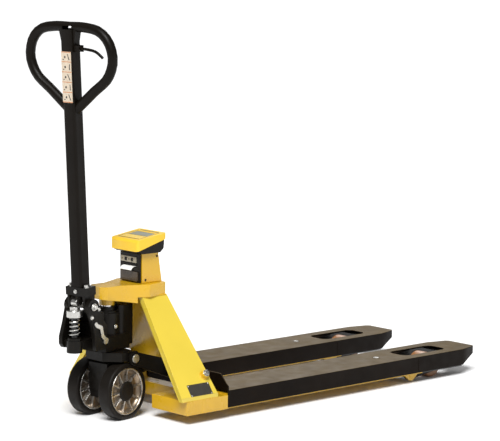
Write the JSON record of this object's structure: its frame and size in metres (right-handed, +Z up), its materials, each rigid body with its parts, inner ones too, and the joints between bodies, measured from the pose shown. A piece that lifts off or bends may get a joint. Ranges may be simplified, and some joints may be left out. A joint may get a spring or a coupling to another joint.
{
  "type": "pallet truck scale",
  "caption": "Hand pallet truck with weighing forks, steered wheels, a loop handle, and a column with a weight display and ticket printer.",
  "frame": {"origin": "middle of the whole part's footprint, on the floor", "axes": "+X towards the fork tips, +Y to the left of someone facing the tips, +Z up"},
  "size_m": [1.6142, 0.55, 1.2257],
  "materials": {
    "yellow_paint": "gloss",
    "black_paint": "satin",
    "black_casting": "satin",
    "steel": "satin",
    "chrome": "polished",
    "aluminium": "satin",
    "tyre_rubber": "matte",
    "roller_tread": "satin",
    "black_plastic": "matte",
    "yellow_plastic": "satin",
    "grey_plastic": "gloss",
    "screen": "gloss",
    "paper": "matte"
  },
  "bodies": {
    "chassis": {"hood": "yellow_paint", "back_plate": "yellow_paint", "cross_box": "yellow_paint", "column_housing": "yellow_paint", "battery": "black_plastic", "printer_panel": "black_plastic", "paper_strip": "paper", "paper_roll": "paper", "indicator_lower": "black_plastic", "indicator_upper": "yellow_plastic", "indicator_screen": "screen", "ram": "chrome", "leg_left": "yellow_paint", "leg_bolt_left": "steel", "base_box_left": "yellow_paint", "fork_inner_left": "yellow_paint", "fork_cover_left": "black_paint", "load_cell_heel_left": "aluminium", "load_cell_tip_left": "aluminium", "cover_screw_left": "steel", "bracket_pin_left": "steel", "leg_right": "yellow_paint", "leg_bolt_right": "steel", "base_box_right": "yellow_paint", "fork_inner_right": "yellow_paint", "fork_cover_right": "black_paint", "load_cell_heel_right": "aluminium", "load_cell_tip_right": "aluminium", "cover_screw_right": "steel", "bracket_pin_right": "steel"},
    "yoke": {"yoke": "black_paint", "yoke_pin_left": "steel", "yoke_pin_right": "steel"},
    "pump": {"pump_body": "black_casting", "wheel_axle": "steel"},
    "handle": {"handle_grip": "black_paint", "handle_foot": "black_casting", "handle_pin": "steel"},
    "control_lever": {"control_lever": "black_paint"},
    "press_roller": {"press_roller": "steel"},
    "piston": {"piston": "black_casting", "piston_spring": "steel"},
    "release_strip": {"release_strip": "chrome"},
    "crank": {"crank": "black_paint"},
    "printer_door": {"printer_door": "black_plastic"},
    "printer_button_a": {"printer_button_a": "grey_plastic"},
    "printer_button_b": {"printer_button_b": "grey_plastic"},
    "wheel_left": {"wheel_tyre_left": "tyre_rubber", "wheel_hub_left": "aluminium"},
    "push_rod_left": {"push_rod_left": "black_paint"},
    "roller_bracket_left": {"roller_bracket_left": "yellow_paint", "roller_axle_left": "steel"},
    "load_roller_left": {"load_roller_left": "roller_tread"},
    "wheel_right": {"wheel_tyre_right": "tyre_rubber", "wheel_hub_right": "aluminium"},
    "push_rod_right": {"push_rod_right": "black_paint"},
    "roller_bracket_right": {"roller_bracket_right": "yellow_paint", "roller_axle_right": "steel"},
    "load_roller_right": {"load_roller_right": "roller_tread"}
  },
  "joints": [
    {"name": "lift", "type": "slide", "parent": "chassis", "child": "yoke", "axis": [0, 0, -1], "range_m": [0, 0.12]},
    {"name": "steer", "type": "hinge", "parent": "yoke", "child": "pump", "pos_m": [-0.60394, 0, 0.2], "axis": [0, 0, 1], "range_deg": [-99.3, 80.7]},
    {"name": "wheel_spin_left", "type": "hinge", "parent": "pump", "child": "wheel_left", "pos_m": [-0.61428, 0.06316, 0.0885], "axis": [-0.1616, 0.9869, 0], "continuous": true},
    {"name": "wheel_spin_right", "type": "hinge", "parent": "pump", "child": "wheel_right", "pos_m": [-0.5936, -0.06316, 0.0885], "axis": [-0.1616, 0.9869, 0], "continuous": true},
    {"name": "handle_tilt", "type": "hinge", "parent": "pump", "child": "handle", "pos_m": [-0.71842, -0.01875, 0.362], "axis": [0.1616, -0.9869, 0], "range_deg": [0, 65], "stiffness_Nm_per_rad": 16, "springref_deg": -51.57},
    {"name": "press_roller_spin", "type": "hinge", "parent": "handle", "child": "press_roller", "pos_m": [-0.74346, -0.02285, 0.37383], "axis": [-0.1616, 0.9869, 0], "continuous": true},
    {"name": "piston_stroke", "type": "slide", "parent": "pump", "child": "piston", "axis": [0, 0, -1], "range_m": [0, 0.0299], "deforming": ["piston_spring"]},
    {"name": "lever_pull", "type": "hinge", "parent": "handle", "child": "control_lever", "pos_m": [-0.76038, -0.05906, 1.14554], "axis": [-0.985, -0.1613, -0.061], "range_deg": [-8, 12]},
    {"name": "release_pull", "type": "hinge", "parent": "pump", "child": "release_strip", "pos_m": [-0.65705, -0.0624, 0.251], "axis": [-0.1616, 0.9869, 0], "range_deg": [-7, 10]},
    {"name": "crank_turn", "type": "hinge", "parent": "chassis", "child": "crank", "pos_m": [-0.37894, 0, 0.125], "axis": [0, -1, 0], "range_deg": [0, 34.18]},
    {"name": "rod_push_left", "type": "slide", "parent": "chassis", "child": "push_rod_left", "axis": [1, 0, 0], "range_m": [0, 0.04247]},
    {"name": "bracket_swing_left", "type": "hinge", "parent": "chassis", "child": "roller_bracket_left", "pos_m": [0.50006, 0.1915, 0.025], "axis": [0, 1, 0], "range_deg": [0, 64.12]},
    {"name": "roller_spin_left", "type": "hinge", "parent": "roller_bracket_left", "child": "load_roller_left", "pos_m": [0.62406, 0.1915, 0.04], "axis": [0, 1, 0], "continuous": true},
    {"name": "rod_push_right", "type": "slide", "parent": "chassis", "child": "push_rod_right", "axis": [1, 0, 0], "range_m": [0, 0.04247]},
    {"name": "bracket_swing_right", "type": "hinge", "parent": "chassis", "child": "roller_bracket_right", "pos_m": [0.50006, -0.1915, 0.025], "axis": [0, 1, 0], "range_deg": [0, 64.12]},
    {"name": "roller_spin_right", "type": "hinge", "parent": "roller_bracket_right", "child": "load_roller_right", "pos_m": [0.62406, -0.1915, 0.04], "axis": [0, 1, 0], "continuous": true},
    {"name": "door_swing", "type": "hinge", "parent": "chassis", "child": "printer_door", "pos_m": [-0.51414, 0, 0.4185], "axis": [0, -1, 0], "range_deg": [0, 80]},
    {"name": "button_press_a", "type": "slide", "parent": "chassis", "child": "printer_button_a", "axis": [1, 0, 0], "range_m": [0, 0.0015], "stiffness_N_per_m": 300, "springref_m": -0.001},
    {"name": "button_press_b", "type": "slide", "parent": "chassis", "child": "printer_button_b", "axis": [1, 0, 0], "range_m": [0, 0.0015], "stiffness_N_per_m": 300, "springref_m": -0.001}
  ],
  "couplings": [
    {"joint": "piston_stroke", "follows": "handle_tilt", "m_per_rad": 0.026296},
    {"joint": "release_pull", "follows": "lever_pull", "ratio": 0.8},
    {"joint": "crank_turn", "follows": "lift", "rad_per_m": 4.9695},
    {"joint": "rod_push_left", "follows": "lift", "ratio": 0.3538},
    {"joint": "bracket_swing_left", "follows": "lift", "rad_per_m": 9.3238},
    {"joint": "rod_push_right", "follows": "lift", "ratio": 0.3538},
    {"joint": "bracket_swing_right", "follows": "lift", "rad_per_m": 9.3238}
  ]
}
